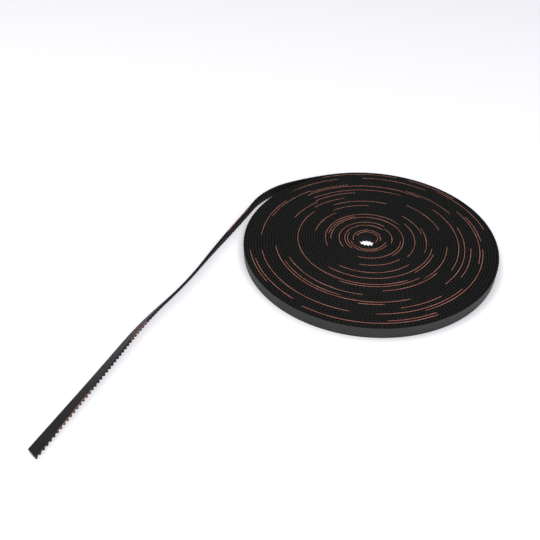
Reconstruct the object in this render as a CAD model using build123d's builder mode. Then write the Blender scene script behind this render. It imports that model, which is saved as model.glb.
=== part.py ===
from build123d import *
import math
import os

os.makedirs("parts", exist_ok=True)

# Lengths in mm, angles in degrees.
# The belt stands on edge: its width is along Z, the coil turns about the Z axis.

# belt section
BELT_WIDTH = 6.0
TOOTH_PITCH = 2.0
TOOTH_HEIGHT = 0.75
CORD_TO_BACK = 0.38
CORD_TO_LAND = 0.25
FACING = 0.08
CORD_DIAMETER = 0.26
CORD_COUNT = 7
# the outermost cords lie three quarters of a spacing inside the slit edges
CORD_SPACING = BELT_WIDTH / (CORD_COUNT + 0.5)
CORD_TO_TIP = CORD_TO_LAND + TOOTH_HEIGHT
# in the coil a cord is square, with the round cord's area
CORD_SIDE = CORD_DIAMETER * math.sqrt(math.pi) / 2

# one tooth: distance along the belt from its middle, share of its height
TOOTH_SHAPE = [(-0.64, 0.0), (-0.50, 0.56), (-0.24, 0.96), (0.24, 0.96), (0.50, 0.56), (0.64, 0.0)]

# coil
OUTER_CORD_RADIUS = 67.2
EYE_CORD_RADIUS = 5.0
TURN_GAP = 0.114
TURN_SPACING = CORD_TO_BACK + CORD_TO_TIP + TURN_GAP
# as many half turns as fit outside the eye
HALF_TURNS = int((OUTER_CORD_RADIUS - EYE_CORD_RADIUS) / (TURN_SPACING / 2))
LEAVE_ANGLE = 100.0
TOOTHED_HALF_TURNS = 4
INNER_CORD_RADIUS = OUTER_CORD_RADIUS - HALF_TURNS * TURN_SPACING / 2
# the last half turn eases outward by this much before the belt leaves the coil
EASE = 0.30

# free end: links joined by hinges across the lands between teeth
LINK_TEETH = [15, 15, 15, 15, 15, 15, 15, 16]
HINGE_GAP = 0.40
# a link's cords run in this many straight spans
CORD_SPANS = 12
# distance along the free end, its heading seen from above, its lean from upright
ROUTE = [
    (0, LEAVE_ANGLE + 90, 0),
    (30, 203, 3),
    (60, 243.5, 13),
    (90, 242.25, 18),
    (120, 244.25, 32),
    (150, 236, 42),
    (180, 245.25, 55),
    (210, 244, 65),
    (244, 243.5, 80),
]
ROUTE_STEP = 0.5
# the free end was cut off with scissors, at a slant across the belt
CUT_LENGTH = 240.4
CUT_SLANT = 19.3


# The coil is a chain of half circles whose centres step to and fro by half the turn spacing.
def half_turn_side(k):
    """Which end of the local X axis half turn k starts from: the last one ends at the positive end."""
    return 1 if (HALF_TURNS - k) % 2 == 0 else -1


def half_turn(k):
    """Centre on the local X axis and radius of the cord line in half turn k."""
    centre = -half_turn_side(k) * TURN_SPACING / 4
    ease = EASE / 2 if k == HALF_TURNS - 1 else 0
    return centre + ease, INNER_CORD_RADIUS + (k + 0.5) * TURN_SPACING / 2 + ease


def half_turn_start(k):
    """Cord length from the inner end of the belt to the start of half turn k."""
    return sum(math.pi * half_turn(j)[1] for j in range(k))


def coil_point(length, outward):
    """Point at a cord length from the inner end, set off outward from the cord line."""
    k = 0
    while length > half_turn_start(k + 1):
        k += 1
    centre, radius = half_turn(k)
    angle = math.pi * (k - HALF_TURNS) + (length - half_turn_start(k)) / radius
    reach = radius + outward
    return (centre + reach * math.cos(angle), reach * math.sin(angle))


def coil_arc(k, outward):
    """Start, middle and end of half turn k, set off outward from the cord line."""
    centre, radius = half_turn(k)
    reach = half_turn_side(k) * (radius + outward)
    return (centre + reach, 0), (centre, reach), (centre - reach, 0)


TOOTHED_LENGTH = half_turn_start(TOOTHED_HALF_TURNS)
INNER_TEETH = int(TOOTHED_LENGTH / TOOTH_PITCH)


def coil_tooth_line(cover):
    """Toothed inner outline of the first turns, a cover's thickness back from the surface."""
    land = -(CORD_TO_LAND - cover)
    points = [coil_point(0, land)]
    for tooth in range(INNER_TEETH):
        middle = (tooth + 0.5) * TOOTH_PITCH
        for along, share in TOOTH_SHAPE:
            points.append(coil_point(middle + along, land - share * TOOTH_HEIGHT))
    points.append(coil_point(TOOTHED_LENGTH - 0.1, land))
    points.append(coil_point(TOOTHED_LENGTH, -(CORD_TO_TIP - cover)))
    return points


coil_base = Plane.XY.rotated((0, 0, LEAVE_ANGLE))

CORD_LEVELS = [(row - (CORD_COUNT - 1) / 2) * CORD_SPACING for row in range(CORD_COUNT)]

# seven cords, one above the other, through the whole coil
cord_bases = [coil_base.offset(BELT_WIDTH / 2 + level - CORD_SIDE / 2) for level in CORD_LEVELS]
with BuildPart() as coil_cords:
    with BuildSketch(*cord_bases) as cord_outline:
        with BuildLine() as cord_edges:
            for k in range(HALF_TURNS):
                ThreePointArc(*coil_arc(k, CORD_SIDE / 2))
            for k in range(HALF_TURNS):
                ThreePointArc(*coil_arc(k, -CORD_SIDE / 2))
            Line(coil_point(0, CORD_SIDE / 2), coil_point(0, -CORD_SIDE / 2))
            Line(coil_arc(HALF_TURNS - 1, CORD_SIDE / 2)[2], coil_arc(HALF_TURNS - 1, -CORD_SIDE / 2)[2])
        make_face()
    extrude(amount=CORD_SIDE)

# rubber of the coil, toothed on its innermost turns; the cords lie moulded into it
RUBBER_TIP = -(CORD_TO_TIP - FACING)
with BuildPart() as coil_rubber:
    with BuildSketch(coil_base) as rubber_outline:
        with BuildLine() as rubber_edges:
            for k in range(HALF_TURNS):
                ThreePointArc(*coil_arc(k, CORD_TO_BACK))
            Polyline(*coil_tooth_line(FACING))
            for k in range(TOOTHED_HALF_TURNS, HALF_TURNS):
                ThreePointArc(*coil_arc(k, RUBBER_TIP))
            Line(coil_point(0, CORD_TO_BACK), coil_point(0, -(CORD_TO_LAND - FACING)))
            Line(coil_arc(HALF_TURNS - 1, CORD_TO_BACK)[2], coil_arc(HALF_TURNS - 1, RUBBER_TIP)[2])
        make_face()
    extrude(amount=BELT_WIDTH)

# fabric facing on the toothed side of the coil
with BuildPart() as coil_facing:
    with BuildSketch(coil_base) as facing_outline:
        with BuildLine() as facing_edges:
            Polyline(*coil_tooth_line(FACING))
            for k in range(TOOTHED_HALF_TURNS, HALF_TURNS):
                ThreePointArc(*coil_arc(k, RUBBER_TIP))
            Polyline(*coil_tooth_line(0))
            for k in range(TOOTHED_HALF_TURNS, HALF_TURNS):
                ThreePointArc(*coil_arc(k, -CORD_TO_TIP))
            Line(coil_point(0, -(CORD_TO_LAND - FACING)), coil_point(0, -CORD_TO_LAND))
            Line(coil_arc(HALF_TURNS - 1, RUBBER_TIP)[2], coil_arc(HALF_TURNS - 1, -CORD_TO_TIP)[2])
        make_face()
    extrude(amount=BELT_WIDTH)

coil_rubber.part.label = "coil_rubber"
coil_facing.part.label = "coil_facing"
coil_cords.part.label = "coil_cords"
export_step(coil_rubber.part, "parts/coil_rubber.step")
export_step(coil_facing.part, "parts/coil_facing.step")
export_step(coil_cords.part, "parts/coil_cords.step")


def on_route(length, column):
    """Heading (column 1) or lean (column 2) at a distance along the free end."""
    for before, after in zip(ROUTE, ROUTE[1:]):
        if length <= after[0]:
            share = (length - before[0]) / (after[0] - before[0])
            return before[column] + share * (after[column] - before[column])
    return ROUTE[-1][column]


def section_plane(length):
    """Plane square to the free end: X from the cord line towards the teeth, Z along the belt."""
    x = (OUTER_CORD_RADIUS + EASE) * math.cos(math.radians(LEAVE_ANGLE))
    y = (OUTER_CORD_RADIUS + EASE) * math.sin(math.radians(LEAVE_ANGLE))
    steps = max(1, round(length / ROUTE_STEP))
    step = length / steps
    for n in range(steps):
        heading = math.radians(on_route((n + 0.5) * step, 1))
        x += step * math.cos(heading)
        y += step * math.sin(heading)
    heading = math.radians(on_route(length, 1))
    lean = math.radians(on_route(length, 2))
    along = (math.cos(heading), math.sin(heading), 0)
    to_teeth = (-math.sin(heading) * math.cos(lean), math.cos(heading) * math.cos(lean), -math.sin(lean))
    # the lower corner of the teeth stays on the table
    z = BELT_WIDTH / 2 * math.cos(lean) + CORD_TO_TIP * math.sin(lean)
    return Plane(origin=(x, y, z), x_dir=to_teeth, z_dir=along)


LINK_START = [TOOTH_PITCH * sum(LINK_TEETH[:n]) for n in range(len(LINK_TEETH))]
LAST_LINK = len(LINK_START) - 1
cut_plane = Plane(section_plane(CUT_LENGTH).location * Rotation(CUT_SLANT, 0, 0))

for number, first in enumerate(LINK_START):
    teeth = LINK_TEETH[number]
    last = first + teeth * TOOTH_PITCH
    begin = first + (HINGE_GAP if number == 0 else HINGE_GAP / 2)
    end = last - (0 if number == LAST_LINK else HINGE_GAP / 2)
    stations = [(begin, CORD_TO_LAND)]
    for tooth in range(teeth):
        middle = first + (tooth + 0.5) * TOOTH_PITCH
        stations += [(middle + along, CORD_TO_LAND + share * TOOTH_HEIGHT) for along, share in TOOTH_SHAPE]
    stations.append((end, CORD_TO_LAND))
    name = "tail_" + str(number + 1)

    planes = [section_plane(begin + (end - begin) * n / CORD_SPANS) for n in range(CORD_SPANS + 1)]
    with BuildPart() as link_cords:
        for level in CORD_LEVELS:
            for plane in planes:
                with BuildSketch(plane) as cord_section:
                    with Locations((0, level)):
                        Circle(CORD_DIAMETER / 2)
            loft(ruled=True)
        if number == LAST_LINK:
            split(bisect_by=cut_plane, keep=Keep.BOTTOM)

    with BuildPart() as link_rubber:
        for length, reach in stations:
            surface = reach - FACING
            with BuildSketch(section_plane(length)) as rubber_section:
                with Locations(((surface - CORD_TO_BACK) / 2, 0)):
                    Rectangle(surface + CORD_TO_BACK, BELT_WIDTH)
        loft(ruled=True)
        if number == LAST_LINK:
            split(bisect_by=cut_plane, keep=Keep.BOTTOM)

    with BuildPart() as link_facing:
        for length, reach in stations:
            with BuildSketch(section_plane(length)) as facing_section:
                with Locations((reach - FACING / 2, 0)):
                    Rectangle(FACING, BELT_WIDTH)
        loft(ruled=True)
        if number == LAST_LINK:
            split(bisect_by=cut_plane, keep=Keep.BOTTOM)

    link_rubber.part.label = name + "_rubber"
    link_facing.part.label = name + "_facing"
    link_cords.part.label = name + "_cords"
    export_step(link_rubber.part, "parts/" + name + "_rubber.step")
    export_step(link_facing.part, "parts/" + name + "_facing.step")
    export_step(link_cords.part, "parts/" + name + "_cords.step")
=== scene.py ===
import math

import bmesh
import bpy
import numpy as np
from mathutils import Matrix, Vector


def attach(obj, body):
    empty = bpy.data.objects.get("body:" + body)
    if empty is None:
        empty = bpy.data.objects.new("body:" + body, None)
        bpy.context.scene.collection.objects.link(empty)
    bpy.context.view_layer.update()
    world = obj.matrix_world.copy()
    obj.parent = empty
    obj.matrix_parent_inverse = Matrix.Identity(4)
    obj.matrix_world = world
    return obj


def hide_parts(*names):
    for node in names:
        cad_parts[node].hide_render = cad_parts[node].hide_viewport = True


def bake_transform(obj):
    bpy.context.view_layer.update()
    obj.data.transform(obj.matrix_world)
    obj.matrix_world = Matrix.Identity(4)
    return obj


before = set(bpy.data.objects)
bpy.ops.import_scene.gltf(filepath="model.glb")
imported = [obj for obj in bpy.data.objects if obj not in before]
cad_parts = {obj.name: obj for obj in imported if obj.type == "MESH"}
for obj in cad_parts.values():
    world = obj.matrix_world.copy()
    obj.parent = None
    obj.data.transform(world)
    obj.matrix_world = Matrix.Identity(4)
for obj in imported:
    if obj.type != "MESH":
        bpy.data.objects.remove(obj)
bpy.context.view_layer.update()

MM = 0.001
# points of the straight belt closer than this, in mm, are one point
NEAR = 1e-4

# ---------------------------------------------------------------- belt section, in mm
PITCH = 2.0
WIDTH = 6.0
TOOTH = 0.75
CORD_TO_BACK = 0.38
CORD_TO_LAND = 0.25
FACING = 0.08
# height of the two cords nearest the slit edges, above and below the belt's middle
EDGE_CORD = 2.98
# whatever is further than this from the middle belongs to an edge cord
OUTERMOST = 2.5
# one tooth, from land to land: distance from its middle, height above the land
TOOTH_LINE = [
    (-0.68, 0.0), (-0.545, 0.13), (-0.48, 0.44), (-0.27, 0.685),
    (0.0, TOOTH),
    (0.27, 0.685), (0.48, 0.44), (0.545, 0.13), (0.68, 0.0),
]

# ---------------------------------------------------------------- coil, as in the CAD
HALF_TURNS = 83
TURN_SPACING = 1.494
OUTER_CORD_RADIUS = 67.2
INNER_CORD_RADIUS = OUTER_CORD_RADIUS - HALF_TURNS * TURN_SPACING / 2
LEAVE_ANGLE = math.radians(100)
EASE = 0.30

turn_number = np.arange(HALF_TURNS)
turn_centre = np.where((HALF_TURNS - turn_number) % 2 == 0, -1, 1) * TURN_SPACING / 4
turn_radius = INNER_CORD_RADIUS + (turn_number + 0.5) * TURN_SPACING / 2
turn_centre[-1] += EASE / 2
turn_radius[-1] += EASE / 2
turn_start = np.concatenate([[0], np.cumsum(math.pi * turn_radius)])
COIL_LENGTH = float(turn_start[-1])

# ---------------------------------------------------------------- free end, as in the CAD
# distance along it, heading seen from above, lean from upright
ROUTE = [
    (0, 190, 0), (30, 203, 3), (60, 243.5, 13), (90, 242.25, 18), (120, 244.25, 32),
    (150, 236, 42), (180, 245.25, 55), (210, 244, 65), (244, 243.5, 80),
]
TAIL_LENGTH = 244
# where scissors cut it off, and the cut's slant across the belt
CUT_LENGTH = 240.4
CUT_SLANT = math.radians(19.3)
# eight hinged links; the pieces meet in the middle of each link
LINKS = 8
TAIL_CUTS = [0, 14, 44, 74, 104, 134, 164, 194, 226, 242]

route = np.array(ROUTE, float)
route_at = np.linspace(0, TAIL_LENGTH, 4 * TAIL_LENGTH + 1)
route_heading = np.radians(np.interp(route_at, route[:, 0], route[:, 1]))
route_lean = np.radians(np.interp(route_at, route[:, 0], route[:, 2]))
step = np.diff(route_at)
middle = (route_heading[1:] + route_heading[:-1]) / 2
leave_radius = OUTER_CORD_RADIUS + EASE
route_x = leave_radius * math.cos(LEAVE_ANGLE) + np.concatenate([[0], np.cumsum(step * np.cos(middle))])
route_y = leave_radius * math.sin(LEAVE_ANGLE) + np.concatenate([[0], np.cumsum(step * np.sin(middle))])


# the hand-wound coil's middle turns lie in by SWAY mm, most at this radius and angle, and less around it
SWAY = 1.3
SWAY_RADIUS = 35
SWAY_DEPTH = 13
SWAY_SIDE = 238
SWAY_SPREAD = 42
# and its turns stand unevenly: share of the belt's width up and down, mm in and out
UNEVEN_HEIGHT = 0.012
UNEVEN_REACH = 0.02
# the unevenness dies out over the last stretch before the belt leaves the coil
CALM = 60


def unevenness(along):
    """Slow waves between -1 and 1 along a wound belt, none where it leaves the coil."""
    wave = 0.5 * np.sin(along / 37 + 1.0) + 0.3 * np.sin(along / 13.3 + 2.2) + 0.2 * np.sin(along / 91 + 0.4)
    return wave * np.clip((COIL_LENGTH - along) / CALM, 0, 1)


def sway(radius, angle):
    """How far the middle turns of a hand-wound coil lie in towards the eye, at the front left."""
    off_middle = (radius - SWAY_RADIUS) / SWAY_DEPTH
    off_side = (np.degrees(angle + LEAVE_ANGLE) % 360 - SWAY_SIDE) / SWAY_SPREAD
    return SWAY * np.exp(-off_middle ** 2 / 2) * np.exp(-off_side ** 2 / 2)


def place_on_coil(along, to_teeth, up):
    """Lengths along the belt, depths towards its teeth and heights, in mm, to places in metres."""
    along = np.clip(along, 0, COIL_LENGTH)
    k = np.clip(np.searchsorted(turn_start, along, side="right") - 1, 0, HALF_TURNS - 1)
    angle = math.pi * (k - HALF_TURNS) + (along - turn_start[k]) / turn_radius[k]
    line = INNER_CORD_RADIUS + TURN_SPACING * (angle / math.pi + HALF_TURNS) / 2
    reach = turn_radius[k] - sway(line, angle) - to_teeth + UNEVEN_REACH * unevenness(along * 1.7)
    x = turn_centre[k] + reach * np.cos(angle)
    y = reach * np.sin(angle)
    z = (up + WIDTH / 2) * (1 + UNEVEN_HEIGHT * unevenness(along))
    c, s = math.cos(LEAVE_ANGLE), math.sin(LEAVE_ANGLE)
    return np.stack([x * c - y * s, x * s + y * c, z], axis=1) * MM


def place_on_tail(along, to_teeth, up):
    """The same for the free end, measured from where the belt leaves the coil."""
    heading = np.interp(along, route_at, route_heading)
    lean = np.interp(along, route_at, route_lean)
    x = np.interp(along, route_at, route_x)
    y = np.interp(along, route_at, route_y)
    z = WIDTH / 2 * np.cos(lean) + (CORD_TO_LAND + TOOTH) * np.sin(lean)
    left = np.stack([-np.sin(heading), np.cos(heading), 0 * heading], axis=1)
    upward = np.array([0, 0, 1])
    teeth = left * np.cos(lean)[:, None] - upward * np.sin(lean)[:, None]
    across = left * np.sin(lean)[:, None] + upward * np.cos(lean)[:, None]
    centre = np.stack([x, y, z], axis=1)
    return (centre + teeth * to_teeth[:, None] + across * up[:, None]) * MM


# ---------------------------------------------------------------- straight belt, then wound
# edges that turn by more than this, in degrees, stay sharp
SHARP = 40


def offset_line(points, by):
    """An open line of points moved square to itself."""
    moved = []
    for i, (x, y) in enumerate(points):
        before, after = points[max(i - 1, 0)], points[min(i + 1, len(points) - 1)]
        dx, dy = after[0] - before[0], after[1] - before[1]
        size = math.hypot(dx, dy)
        moved.append((x + by * dy / size, y - by * dx / size))
    moved[0] = (points[0][0], moved[0][1])
    moved[-1] = (points[-1][0], moved[-1][1])
    return moved


surface_line = [(-PITCH / 2, CORD_TO_LAND)] + [(x, CORD_TO_LAND + h) for x, h in TOOTH_LINE]
surface_line.append((PITCH / 2, CORD_TO_LAND))
rubber_line = offset_line(surface_line, FACING)


def closes_end(face):
    """Whether a face closes one of the two ends of a pitch."""
    left_end = all(abs(v.co.x + PITCH / 2) < NEAR for v in face.verts)
    right_end = all(abs(v.co.x - PITCH / 2) < NEAR for v in face.verts)
    return left_end or right_end


def pitch_cell(outline):
    """One pitch of belt: its outline drawn out across the width, with its two ends left open."""
    bm = bmesh.new()
    face = bm.faces.new([bm.verts.new((x, y, -WIDTH / 2)) for x, y in outline])
    drawn = bmesh.ops.extrude_face_region(bm, geom=[face])
    top = [v for v in drawn["geom"] if isinstance(v, bmesh.types.BMVert)]
    bmesh.ops.translate(bm, verts=top, vec=(0, 0, WIDTH))
    ends = [f for f in bm.faces if closes_end(f)]
    bmesh.ops.delete(bm, geom=ends, context="FACES_ONLY")
    bmesh.ops.recalc_face_normals(bm, faces=bm.faces)
    return bm


def cord_cell(length, rows, sides, halves):
    """A short run of cords at the given heights, each a flattened tube, given by its half depth and height."""
    bm = bmesh.new()
    for row in rows:
        ring = bmesh.ops.create_circle(bm, segments=sides, radius=1.0)["verts"]
        bmesh.ops.scale(bm, verts=ring, vec=(halves[0], halves[1], 1))
        bmesh.ops.rotate(bm, verts=ring, matrix=Matrix.Rotation(math.radians(90), 3, "Y"))
        bmesh.ops.rotate(bm, verts=ring, matrix=Matrix.Rotation(math.radians(90), 3, "X"))
        bmesh.ops.translate(bm, verts=ring, vec=(0, 0, row))
        edges = list({e for v in ring for e in v.link_edges})
        drawn = bmesh.ops.extrude_edge_only(bm, edges=edges)
        far = [v for v in drawn["geom"] if isinstance(v, bmesh.types.BMVert)]
        bmesh.ops.translate(bm, verts=far, vec=(length, 0, 0))
    bmesh.ops.recalc_face_normals(bm, faces=bm.faces)
    return bm


def repeat(bm, name, count, length, begin):
    """A cell repeated end to end, its first copy's start put at begin, and its two ends closed."""
    cell = bpy.data.meshes.new(name + "_cell")
    bm.to_mesh(cell)
    bm.free()
    holder = bpy.data.objects.new(name + "_cell", cell)
    bpy.context.scene.collection.objects.link(holder)
    row = holder.modifiers.new("row", "ARRAY")
    row.count = count
    row.use_relative_offset = False
    row.use_constant_offset = True
    row.constant_offset_displace = (length, 0, 0)
    row.use_merge_vertices = True
    row.merge_threshold = NEAR
    seen = holder.evaluated_get(bpy.context.evaluated_depsgraph_get())
    mesh = bpy.data.meshes.new_from_object(seen)
    bpy.data.objects.remove(holder)
    bpy.data.meshes.remove(cell)
    work = bmesh.new()
    work.from_mesh(mesh)
    start = min(v.co.x for v in work.verts)
    bmesh.ops.translate(work, verts=work.verts, vec=(begin - start, 0, 0))
    rim = [e for e in work.edges if e.is_boundary]
    bmesh.ops.holes_fill(work, edges=rim, sides=0)
    work.to_mesh(mesh)
    work.free()
    mesh.name = name
    return mesh


def cut_off(mesh, proud):
    """Cuts the straight belt at the scissors' slant, standing a little proud, and closes the cut."""
    work = bmesh.new()
    work.from_mesh(mesh)
    everything = work.verts[:] + work.edges[:] + work.faces[:]
    slant = (math.cos(CUT_SLANT), 0, -math.sin(CUT_SLANT))
    place = (CUT_LENGTH + proud, 0, 0)
    bmesh.ops.bisect_plane(work, geom=everything, dist=1e-5, plane_co=place, plane_no=slant, clear_outer=True)
    rim = [e for e in work.edges if e.is_boundary]
    bmesh.ops.holes_fill(work, edges=rim, sides=0)
    work.to_mesh(mesh)
    work.free()


def wind(mesh, name, place, lift=None):
    """Winds a straight mesh along the belt's route, keeping its length, depth and height for the finishes."""
    count = len(mesh.vertices)
    flat = np.zeros(count * 3, np.float32)
    mesh.vertices.foreach_get("co", flat)
    along, depth, up = flat.reshape(-1, 3).astype(float).T
    for label, values in (("along", along), ("depth", depth), ("up", up)):
        stored = mesh.attributes.new(label, "FLOAT", "POINT")
        stored.data.foreach_set("value", values.astype(np.float32))
    if lift is not None:
        up = up + lift(along, up)
    mesh.vertices.foreach_set("co", place(along, depth, up).astype(np.float32).ravel())
    mesh.shade_smooth()
    mesh.set_sharp_from_angle(angle=math.radians(SHARP))
    mesh.update()
    piece = bpy.data.objects.new(name, mesh)
    bpy.context.scene.collection.objects.link(piece)
    return piece


# ---------------------------------------------------------------- finishes
def colour(code):
    """An sRGB hex value as a linear colour."""
    parts = [int(code[i:i + 2], 16) / 255 for i in (1, 3, 5)]
    return tuple(c / 12.92 if c <= 0.04045 else ((c + 0.055) / 1.055) ** 2.4 for c in parts) + (1.0,)


def add(tree, kind, inputs=None, stops=(), **settings):
    """A shader node with its settings, inputs set or linked, and a ramp's (position, hex) stops."""
    made = tree.nodes.new(kind)
    for number, (at, code) in enumerate(stops):
        elements = made.color_ramp.elements
        element = elements[number] if number < len(elements) else elements.new(at)
        element.position = at
        element.color = colour(code)
    for key, value in settings.items():
        setattr(made, key, value)
    for key, value in (inputs or {}).items():
        if isinstance(value, bpy.types.NodeSocket):
            tree.links.new(value, made.inputs[key])
        else:
            made.inputs[key].default_value = value
    return made


def new_finish(name):
    """An empty material and its node tree."""
    finish = bpy.data.materials.new(name)
    finish.use_nodes = True
    finish.node_tree.nodes.clear()
    return finish, finish.node_tree


def moulded_neoprene():
    """Neoprene back, moulded and ground to thickness: matt near-black, fine marks along it, faint clouding."""
    finish, tree = new_finish("neoprene_ground_back")
    place = add(tree, "ShaderNodeTexCoord").outputs["Object"]
    along = add(tree, "ShaderNodeAttribute", attribute_name="along").outputs["Fac"]
    up = add(tree, "ShaderNodeAttribute", attribute_name="up").outputs["Fac"]
    # grinding marks run along the belt, 2 mm long and a sixth of a millimetre wide
    on_belt = add(tree, "ShaderNodeCombineXYZ", {"X": along, "Y": up}).outputs["Vector"]
    stretch = add(tree, "ShaderNodeMapping", {"Vector": on_belt, "Scale": (0.5, 6.0, 1.0)}).outputs["Vector"]
    marks = add(tree, "ShaderNodeTexNoise", {
        "Vector": stretch, "Scale": 1.0, "Detail": 4.0, "Roughness": 0.6,
    })
    # clouding about 8 mm across
    cloud = add(tree, "ShaderNodeTexNoise", {"Vector": place, "Scale": 1 / (8 * MM), "Detail": 3.0})
    # rubber grain about 0.15 mm
    grain = add(tree, "ShaderNodeTexNoise", {"Vector": place, "Scale": 1 / (0.15 * MM), "Detail": 2.0})
    mixed = add(tree, "ShaderNodeMath", {0: marks.outputs["Fac"], 1: cloud.outputs["Fac"]}, operation="ADD")
    half = add(tree, "ShaderNodeMath", {0: mixed.outputs[0], 1: 0.5}, operation="MULTIPLY").outputs[0]
    stops = [(0.30, "#191a17"), (0.5, "#21221f"), (0.72, "#2b2c28")]
    base = add(tree, "ShaderNodeValToRGB", {"Fac": half}, stops=stops).outputs["Color"]
    rough = add(tree, "ShaderNodeMapRange", {"Value": half, "To Min": 0.5, "To Max": 0.66}).outputs["Result"]
    height = add(tree, "ShaderNodeMath", {0: grain.outputs["Fac"], 1: marks.outputs["Fac"]}, operation="ADD")
    bump = add(tree, "ShaderNodeBump", {"Height": height.outputs[0], "Strength": 0.25, "Distance": 0.03 * MM})
    shader = add(tree, "ShaderNodeBsdfPrincipled", {
        "Base Color": base, "Roughness": rough, "Normal": bump.outputs["Normal"], "IOR": 1.52,
        "Specular IOR Level": 0.36,
    })
    add(tree, "ShaderNodeOutputMaterial", {"Surface": shader.outputs["BSDF"]})
    return finish


def slit_neoprene():
    """Edge where the belt was slit from a wide sleeve: blacker than the back, with short knife streaks."""
    finish, tree = new_finish("neoprene_slit_edge")
    place = add(tree, "ShaderNodeTexCoord").outputs["Object"]
    along = add(tree, "ShaderNodeAttribute", attribute_name="along").outputs["Fac"]
    depth = add(tree, "ShaderNodeAttribute", attribute_name="depth").outputs["Fac"]
    on_edge = add(tree, "ShaderNodeCombineXYZ", {"X": along, "Y": depth}).outputs["Vector"]
    stretch = add(tree, "ShaderNodeMapping", {"Vector": on_edge, "Scale": (0.35, 5.0, 1.0)}).outputs["Vector"]
    streak = add(tree, "ShaderNodeTexNoise", {"Vector": stretch, "Scale": 1.0, "Detail": 3.0})
    grain = add(tree, "ShaderNodeTexNoise", {"Vector": place, "Scale": 1 / (0.2 * MM), "Detail": 2.0})
    both = add(tree, "ShaderNodeMath", {0: streak.outputs["Fac"], 1: grain.outputs["Fac"]}, operation="ADD")
    half = add(tree, "ShaderNodeMath", {0: both.outputs[0], 1: 0.5}, operation="MULTIPLY").outputs[0]
    stops = [(0.32, "#111210"), (0.52, "#1c1d1b"), (0.72, "#2e2f2d")]
    base = add(tree, "ShaderNodeValToRGB", {"Fac": half}, stops=stops).outputs["Color"]
    bump = add(tree, "ShaderNodeBump", {"Height": half, "Strength": 0.3, "Distance": 0.04 * MM})
    shader = add(tree, "ShaderNodeBsdfPrincipled", {
        "Base Color": base, "Roughness": 0.62, "Normal": bump.outputs["Normal"], "IOR": 1.52,
        "Specular IOR Level": 0.36,
    })
    add(tree, "ShaderNodeOutputMaterial", {"Surface": shader.outputs["BSDF"]})
    return finish


def nylon_facing():
    """Woven nylon facing pressed over the teeth: black plain weave with a little sheen."""
    finish, tree = new_finish("nylon_tooth_facing")
    along = add(tree, "ShaderNodeAttribute", attribute_name="along").outputs["Fac"]
    depth = add(tree, "ShaderNodeAttribute", attribute_name="depth").outputs["Fac"]
    up = add(tree, "ShaderNodeAttribute", attribute_name="up").outputs["Fac"]
    # threads 0.22 mm apart both ways; over a flank the weave also runs with depth
    run = add(tree, "ShaderNodeMath", {0: along, 1: depth}, operation="ADD").outputs[0]
    per_thread = 2 * math.pi / 0.22
    warp = add(tree, "ShaderNodeMath", {0: run, 1: per_thread}, operation="MULTIPLY").outputs[0]
    weft = add(tree, "ShaderNodeMath", {0: up, 1: per_thread}, operation="MULTIPLY").outputs[0]
    warp_wave = add(tree, "ShaderNodeMath", {0: warp}, operation="SINE").outputs[0]
    weft_wave = add(tree, "ShaderNodeMath", {0: weft}, operation="SINE").outputs[0]
    weave = add(tree, "ShaderNodeMath", {0: warp_wave, 1: weft_wave}, operation="MULTIPLY").outputs[0]
    level = add(tree, "ShaderNodeMapRange", {"Value": weave, "From Min": -1.0}).outputs["Result"]
    stops = [(0.1, "#060707"), (0.9, "#121413")]
    base = add(tree, "ShaderNodeValToRGB", {"Fac": level}, stops=stops).outputs["Color"]
    bump = add(tree, "ShaderNodeBump", {"Height": level, "Strength": 0.4, "Distance": 0.03 * MM})
    shader = add(tree, "ShaderNodeBsdfPrincipled", {
        "Base Color": base, "Roughness": 0.7, "Normal": bump.outputs["Normal"], "IOR": 1.53,
        "Specular IOR Level": 0.25, "Sheen Weight": 0.05, "Sheen Roughness": 0.5,
    })
    add(tree, "ShaderNodeOutputMaterial", {"Surface": shader.outputs["BSDF"]})
    return finish


def dipped_glass_cord():
    """Twisted glass fibre in red-brown adhesive dip: slanted strands, with a painted highlight along their
    crowns.
    """
    finish, tree = new_finish("glass_cord_red_dip")
    # two strands, each once round every 1.1 mm, leaning over the cord
    strand, lean = 0.55, 12.0
    along = add(tree, "ShaderNodeAttribute", attribute_name="along").outputs["Fac"]
    depth = add(tree, "ShaderNodeAttribute", attribute_name="depth").outputs["Fac"]
    turn = add(tree, "ShaderNodeMath", {0: along, 1: 2 * math.pi / strand}, operation="MULTIPLY").outputs[0]
    slant = add(tree, "ShaderNodeMath", {0: depth, 1: lean}, operation="MULTIPLY").outputs[0]
    phase = add(tree, "ShaderNodeMath", {0: turn, 1: slant}, operation="ADD").outputs[0]
    strand_twist_and_highlight = add(tree, "ShaderNodeMath", {0: phase}, operation="SINE").outputs[0]
    level = add(tree, "ShaderNodeMapRange", {
        "Value": strand_twist_and_highlight, "From Min": -1.0, "To Min": 0.6,
    }).outputs["Result"]
    # darker and paler stretches some 12 mm long
    spot = add(tree, "ShaderNodeCombineXYZ", {"X": along}).outputs["Vector"]
    patch = add(tree, "ShaderNodeTexNoise", {"Vector": spot, "Scale": 0.08, "Detail": 4.0})
    mixed = add(tree, "ShaderNodeMath", {0: level, 1: patch.outputs["Fac"]}, operation="MULTIPLY").outputs[0]
    # the dip's own red-brown, with the palest stop a painted highlight on the strand crowns
    stops = [(0.0, "#5a2f29"), (0.3, "#a3604f"), (0.62, "#d9a08f")]
    base = add(tree, "ShaderNodeValToRGB", {"Fac": mixed}, stops=stops).outputs["Color"]
    bump = add(tree, "ShaderNodeBump", {"Height": level, "Strength": 0.4, "Distance": 0.03 * MM})
    shader = add(tree, "ShaderNodeBsdfPrincipled", {
        "Base Color": base, "Roughness": 0.55, "Normal": bump.outputs["Normal"], "IOR": 1.5,
    })
    add(tree, "ShaderNodeOutputMaterial", {"Surface": shader.outputs["BSDF"]})
    return finish


back_finish = moulded_neoprene()
edge_finish = slit_neoprene()
facing_finish = nylon_facing()
cord_finish = dipped_glass_cord()


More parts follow.
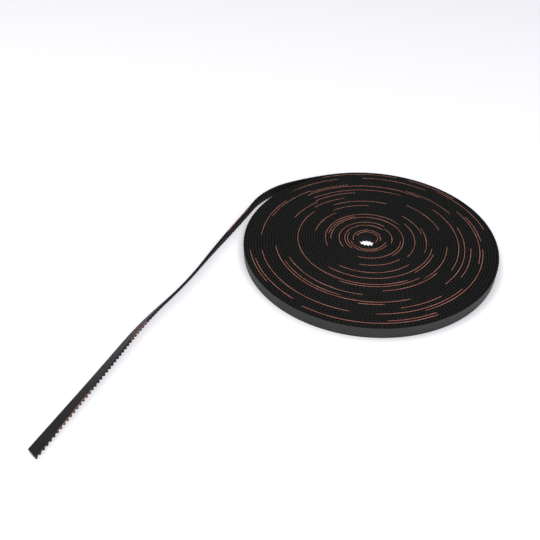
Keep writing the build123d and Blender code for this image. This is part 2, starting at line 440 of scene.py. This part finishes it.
def finish_rubber(mesh):
    """Back and cut faces of a rubber piece, told apart by which way they face before winding."""
    mesh.materials.append(back_finish)
    mesh.materials.append(edge_finish)
    for polygon in mesh.polygons:
        across = abs(polygon.normal.z) > 0.9
        # the closed ends are the only many-cornered faces that look along the belt
        end = abs(polygon.normal.x) > 0.75 and len(polygon.vertices) > 5
        polygon.material_index = 1 if across or end else 0


# ---------------------------------------------------------------- cords near the slit edges
# Where the slitting knife opened the cord nearest the edge: rough radius in the coil in mm,
# and the angles in degrees between which it shows, anticlockwise from the right.
# The wide runs show half the cord, the narrow ones a sliver.
OPENED_WIDE = [
    (63.8, 228, 296), (59.3, 284, 352), (57.9, 262, 316), (57.8, 182, 258), (57.6, 134, 176),
    (63.0, 184, 212), (57.6, 332, 386), (50.0, 178, 292), (50.8, 306, 372), (47.8, 318, 396),
    (43.1, 268, 318), (45.1, 192, 263), (39.2, 236, 306), (37.8, 126, 300), (33.6, 216, 350),
    (28.4, 226, 312), (23.2, 246, 310), (52.4, 40, 128), (22.7, 20, 205), (18.9, 24, 188),
    (19.3, 298, 404), (14.3, 30, 214), (16.5, 236, 356), (12.2, 20, 236), (10.6, 130, 340),
    (9.0, 175, 345), (7.0, 320, 560), (5.4, 300, 520), (65.2, 30, 62), (36.2, 60, 118),
]
OPENED_NARROW = [
    (62.4, 268, 294), (60.9, 190, 230), (59.2, 352, 378), (48.6, 196, 250), (53.8, 276, 304),
    (53.7, 318, 350), (46.7, 338, 366), (41.6, 300, 350), (25.2, 310, 395), (21.0, 96, 168),
    (27.8, 116, 166), (31.0, 76, 124), (29.0, 0, 44), (39.3, 4, 52), (47.4, 52, 128),
    (54.2, 92, 122), (60.4, 44, 88), (63.8, 0, 45), (61.4, 96, 130), (55.3, 116, 158),
    (40.0, 98, 132), (44.6, 88, 126), (13.6, 330, 404), (34.9, 300, 336), (65.0, 62, 110),
    (52.0, 255, 272), (56.5, 206, 236), (30.6, 330, 378), (43.4, 120, 152), (53.6, 20, 60),
]
# the same on the free end, as lengths along it
TAIL_OPENED = [(62, 92), (165, 179), (206, 230)]


def run_on_coil(radius, start, end):
    """A run's start and end along the belt, on the turn nearest to a radius."""
    ends = []
    turns_in = (radius - OUTER_CORD_RADIUS) / TURN_SPACING
    turn = round(turns_in - (math.radians(start) - LEAVE_ANGLE) / (2 * math.pi))
    for degrees in (start, end):
        angle = math.radians(degrees + 360 * turn) - LEAVE_ANGLE
        k = min(max(math.floor(angle / math.pi) + HALF_TURNS, 0), HALF_TURNS - 1)
        length = turn_start[k] + (angle - math.pi * (k - HALF_TURNS)) * turn_radius[k]
        ends.append(min(max(float(length), 0.0), COIL_LENGTH))
    return ends[0], ends[1]


NARROW_SHARE = 0.86
opened = [run_on_coil(*run) + (1.0,) for run in OPENED_WIDE]
opened += [run_on_coil(*run) + (NARROW_SHARE,) for run in OPENED_NARROW]
tail_opened = [run + (1.0,) for run in TAIL_OPENED]


def cord_lift(runs):
    """Raises the two outer cords flush with the slit edge along the opened runs, and sinks them elsewhere."""
    full_rise, sunk, flush, waver = 0.25, 0.20, -0.04, 0.02

    def lift(along, up):
        shown = np.zeros_like(along)
        for begin, end, share in runs:
            # a run comes up over a tenth of its length, or 8 mm
            taper = min(8, (end - begin) / 10)
            fade = np.clip(np.minimum(along - begin, end - along) / taper, 0, 1)
            shown = np.maximum(shown, share * fade)
        broken = waver * np.sin(along / 2.9) + waver * np.sin(along / 7.7 + 1.3)
        edge = np.where(np.abs(up) > OUTERMOST, np.sign(up), 0)
        rise = shown * (full_rise + broken) - sunk
        # underneath, the coil's weight keeps the cords flush
        return edge * np.where(up < 0, np.minimum(rise, flush), rise)
    return lift


# ---------------------------------------------------------------- coil
def rubber_outline():
    """Rubber of one pitch: under the facing on the toothed side, straight along the back."""
    back = [(x, -CORD_TO_BACK) for x in (PITCH / 2, PITCH / 6, -PITCH / 6, -PITCH / 2)]
    return rubber_line + back


def facing_outline():
    """Fabric of one pitch, between the surface and the rubber."""
    return surface_line + rubber_line[::-1]


coil_teeth = int(COIL_LENGTH / PITCH)
coil_begin = COIL_LENGTH - coil_teeth * PITCH
parts_of_coil = [("coil_inner_turns", 0, coil_teeth // 2), ("coil_outer_turns", coil_teeth // 2, coil_teeth)]
for name, first, last in parts_of_coil:
    begin = coil_begin + first * PITCH
    mesh = repeat(pitch_cell(rubber_outline()), name + "_rubber", last - first, PITCH, begin)
    finish_rubber(mesh)
    rubber = wind(mesh, name + "_rubber", place_on_coil)
    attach(rubber, "coil")
    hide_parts("coil_rubber")
    mesh = repeat(pitch_cell(facing_outline()), name + "_facing", last - first, PITCH, begin)
    mesh.materials.append(facing_finish)
    facing = wind(mesh, name + "_facing", place_on_coil)
    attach(facing, "coil")
    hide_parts("coil_facing")

CORD_RUN = 1.5
CORD_HALVES = (0.20, 0.08)
# the cords stop this far short of the belt's cut inner end
CORD_SHORT = 0.1
cord_runs = int((COIL_LENGTH - 2 * CORD_SHORT) / CORD_RUN)
cell = cord_cell(CORD_RUN, [-EDGE_CORD, EDGE_CORD], 6, CORD_HALVES)
mesh = repeat(cell, "coil_edge_cords", cord_runs, CORD_RUN, CORD_SHORT)
mesh.materials.append(cord_finish)
cords = wind(mesh, "coil_edge_cords", place_on_coil, cord_lift(opened))
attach(cords, "coil")
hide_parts("coil_cords")

# ---------------------------------------------------------------- free end
CORD_ROWS = [-EDGE_CORD, -1.6, -0.8, 0.0, 0.8, 1.6, EDGE_CORD]
TAIL_CORD_HALVES = (0.17, 0.13)
# how far the stiff cords stand out of the cut rubber
CORD_PROUD = 0.5
for number, (begin, end) in enumerate(zip(TAIL_CUTS, TAIL_CUTS[1:])):
    teeth = round((end - begin) / PITCH)
    name = "tail_%d" % number if number else "tail_root"
    length = PITCH / 2
    rubber = repeat(pitch_cell(rubber_outline()), name + "_rubber", teeth, PITCH, begin)
    facing = repeat(pitch_cell(facing_outline()), name + "_facing", teeth, PITCH, begin)
    cell = cord_cell(length, CORD_ROWS, 8, TAIL_CORD_HALVES)
    cords = repeat(cell, name + "_cords", 2 * teeth, length, begin)
    if number == len(TAIL_CUTS) - 2:
        for mesh, proud in ((rubber, 0), (facing, 0), (cords, CORD_PROUD)):
            cut_off(mesh, proud)
    finish_rubber(rubber)
    facing.materials.append(facing_finish)
    cords.materials.append(cord_finish)
    made = [
        ("rubber", wind(rubber, name + "_rubber_strip", place_on_tail)),
        ("facing", wind(facing, name + "_facing_strip", place_on_tail)),
        ("cords", wind(cords, name + "_cord_strip", place_on_tail, cord_lift(tail_opened))),
    ]
    for slot, piece in made:
        if number:
            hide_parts("tail_%d_%s" % (min(number, LINKS), slot))
        if number < LINKS:
            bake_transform(piece)
        else:
            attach(piece, "tail_8")

# ---------------------------------------------------------------- floor, light, camera
def floor_with_painted_glow():
    """White paper with a faint fibre, and a painted glow round the coil and in its eye."""
    finish, tree = new_finish("white_paper_sweep_painted_glow")
    place = add(tree, "ShaderNodeTexCoord").outputs["Object"]
    fibre = add(tree, "ShaderNodeTexNoise", {"Vector": place, "Scale": 1 / (1.2 * MM), "Detail": 2.0})
    stops = [(0.3, "#f9f9fb"), (0.7, "#fdfdfe")]
    base = add(tree, "ShaderNodeValToRGB", {"Fac": fibre.outputs["Fac"]}, stops=stops).outputs["Color"]
    # the paper glows round the coil and in its eye though it is no lamp: painted light that keeps the shadows
    # faint there and lights the floor in the deep eye
    painted_glow_round, painted_glow_in_eye = 0.50, 0.9
    reach = add(tree, "ShaderNodeVectorMath", {0: place}, operation="LENGTH").outputs["Value"]
    around = add(tree, "ShaderNodeMapRange", {
        "Value": reach, "From Min": 65 * MM, "From Max": 71 * MM, "To Max": painted_glow_round,
    }).outputs["Result"]
    in_eye = add(tree, "ShaderNodeMapRange", {
        "Value": reach, "From Min": 5 * MM, "From Max": 6 * MM, "To Min": painted_glow_in_eye, "To Max": 0.0,
    }).outputs["Result"]
    painted_glow = add(tree, "ShaderNodeMath", {0: around, 1: in_eye}, operation="ADD").outputs[0]
    shader = add(tree, "ShaderNodeBsdfPrincipled", {
        "Base Color": base, "Roughness": 0.9,
        # this emission is painted light, not a lamp
        "Emission Color": (0.96, 0.95, 1.0, 1.0), "Emission Strength": painted_glow,
    })
    add(tree, "ShaderNodeOutputMaterial", {"Surface": shader.outputs["BSDF"]})
    return finish


FLOOR_HALF = 3.0
FLOOR_BELOW = 0.02 * MM
sweep = bmesh.new()
bmesh.ops.create_grid(sweep, x_segments=8, y_segments=8, size=FLOOR_HALF)
bmesh.ops.translate(sweep, verts=sweep.verts, vec=(0, 0, -FLOOR_BELOW))
floor_mesh = bpy.data.meshes.new("floor")
sweep.to_mesh(floor_mesh)
sweep.free()
floor_mesh.materials.append(floor_with_painted_glow())
floor = bpy.data.objects.new("floor", floor_mesh)
bpy.context.scene.collection.objects.link(floor)


def softbox(name, place, aim, size, power):
    """A rectangular lamp in metres and watts, turned to face a point."""
    lamp = bpy.data.lights.new(name, "AREA")
    lamp.shape = "RECTANGLE"
    lamp.size, lamp.size_y = size
    lamp.energy = power
    box = bpy.data.objects.new(name, lamp)
    box.location = place
    box.rotation_euler = (Vector(aim) - Vector(place)).to_track_quat("-Z", "Y").to_euler()
    bpy.context.scene.collection.objects.link(box)


softbox("softbox_above_left", (-0.75, -0.05, 0.95), (-0.05, 0, 0), (1.0, 1.0), 4.0)
softbox("softbox_front", (0.1, -1.2, 0.8), (-0.05, 0, 0), (1.8, 1.0), 17.0)

# a faint cool room light from all round
world = bpy.data.worlds.new("studio")
bpy.context.scene.world = world
world.use_nodes = True
world.node_tree.nodes["Background"].inputs["Color"].default_value = (0.9, 0.9, 1.0, 1.0)
world.node_tree.nodes["Background"].inputs["Strength"].default_value = 0.13
bpy.context.scene.view_settings.view_transform = "Standard"

# the camera looks down over the coil from the front, tipped a little, in radians
ELEVATION = 0.70375
ROLL = -0.02921
# the point it looks at, between the coil and the free end, and how far off it stands
AIM = Vector((-52.6, -16.7, 0)) * MM
FAR = 301.3 * MM
forward = Vector((0, math.cos(ELEVATION), -math.sin(ELEVATION)))
level = Vector((1, 0, 0))
upright = level.cross(forward)
right = level * math.cos(ROLL) + upright * math.sin(ROLL)
top = upright * math.cos(ROLL) - level * math.sin(ROLL)
view = bpy.data.cameras.new("camera")
view.sensor_width = 36
view.lens = 38.667
view.clip_start = 0.01
view.clip_end = 20
camera = bpy.data.objects.new("camera", view)
turned = Matrix((right, top, -forward)).transposed().to_4x4()
camera.matrix_world = Matrix.Translation(AIM - forward * FAR) @ turned
bpy.context.scene.collection.objects.link(camera)
bpy.context.scene.camera = camera
